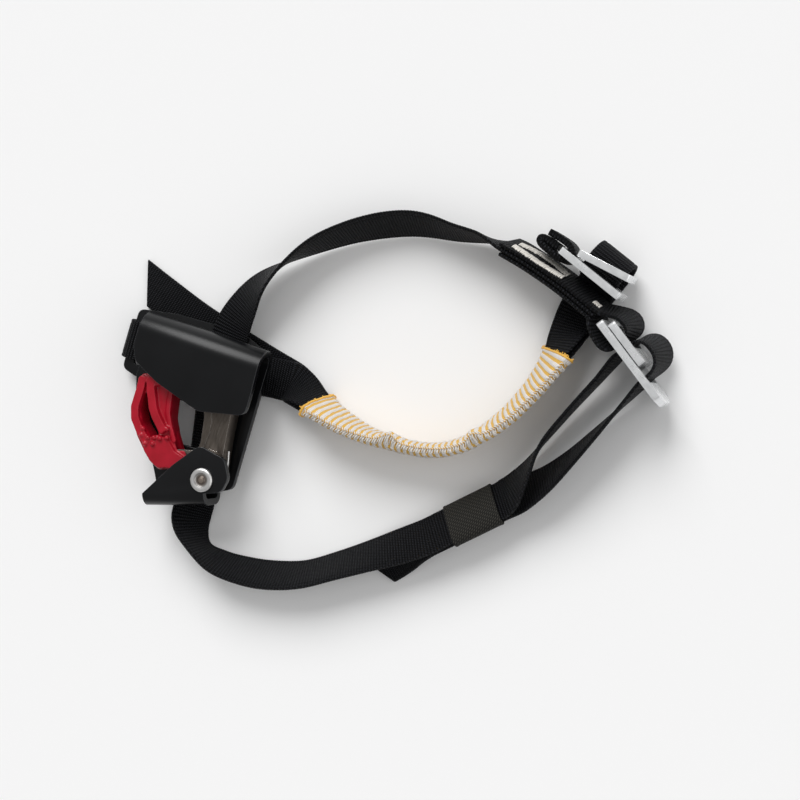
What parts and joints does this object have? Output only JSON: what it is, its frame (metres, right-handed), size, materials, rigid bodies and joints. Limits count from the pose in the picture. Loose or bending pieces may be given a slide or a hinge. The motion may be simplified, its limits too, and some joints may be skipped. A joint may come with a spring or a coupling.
{
  "type": "foot ascender with boot straps",
  "caption": "Folded sheet rope clamp with a sprung toothed cam and a red lever, on boot straps with buckles and a woven sleeve.",
  "frame": {"origin": "middle of the whole object's box in X and Y, on the surface it lies on", "axes": "+X along the rope channel, up in use, towards the buckles; +Y from the cam's axle towards the channel; +Z out of the front flaps, away from the surface it lies on"},
  "size_m": [0.278, 0.2136, 0.0309],
  "materials": {
    "anodised": "satin black anodised sheet",
    "cam_steel": "satin, brownish grey",
    "turned_steel": "turned and bright",
    "spring_steel": "bright wire",
    "silver_aluminium": "bright blasted aluminium with polished edges",
    "bronze": "plain bearing bronze",
    "red_plastic": "semi-gloss moulded",
    "nylon": "matte",
    "webbing": "ribbed polyester webbing",
    "elastic": "herringbone elastic",
    "sleeve_weave": "white braid with yellow stripes across",
    "thread": "white bar tack thread"
  },
  "bodies": {
    "frame_body": {"frame": "anodised", "strap_plate": "anodised", "plate_rivet_left": "turned_steel", "plate_rivet_right": "turned_steel", "plate_spacer_left": "nylon", "plate_spacer_right": "nylon", "cam_axle": "turned_steel", "axle_bush": "bronze", "cam_washer_rear": "nylon", "cam_washer_front": "nylon", "cam_spring": "spring_steel", "foot_strap": "webbing", "ankle_strap": "webbing", "sleeve": "sleeve_weave", "buckle_1_loop": "webbing", "buckle_2_loop": "webbing", "bar_tack_upper": "thread", "bar_tack_lower": "thread", "bar_tack_end": "thread", "buckle_1_base": "silver_aluminium", "buckle_2_base": "silver_aluminium"},
    "cam": {"cam": "cam_steel"},
    "trigger": {"trigger": "red_plastic", "trigger_pin": "turned_steel"},
    "keeper": {"keeper": "elastic"},
    "buckle_1_lock": {"buckle_1_lock": "silver_aluminium"},
    "buckle_2_lock": {"buckle_2_lock": "silver_aluminium"}
  },
  "joints": [
    {"name": "cam_pivot", "type": "hinge", "parent": "frame_body", "child": "cam", "pos_m": [-0.0634, -0.0611, 0.019], "axis": [0, 0, 1], "range_deg": [0, 25], "stiffness_Nm_per_rad": 0.03, "springref_deg": -51.57, "deforming": ["cam_spring"]},
    {"name": "trigger_pivot", "type": "hinge", "parent": "cam", "child": "trigger", "pos_m": [-0.0824, -0.0581, 0.019], "axis": [0, 0, 1], "range_deg": [0, 6], "stiffness_Nm_per_rad": 0.01, "springref_deg": -34.38},
    {"name": "keeper_slide", "type": "slide", "parent": "frame_body", "child": "keeper", "axis": [-0.7142, -0.6999, 0], "range_m": [0, 0.0035]},
    {"name": "buckle_1_slide", "type": "slide", "parent": "frame_body", "child": "buckle_1_lock", "axis": [0.3665, 0.9304, 0], "range_m": [0, 0.002]},
    {"name": "buckle_2_slide", "type": "slide", "parent": "frame_body", "child": "buckle_2_lock", "axis": [0.5764, 0.8171, 0], "range_m": [0, 0.003]}
  ]
}
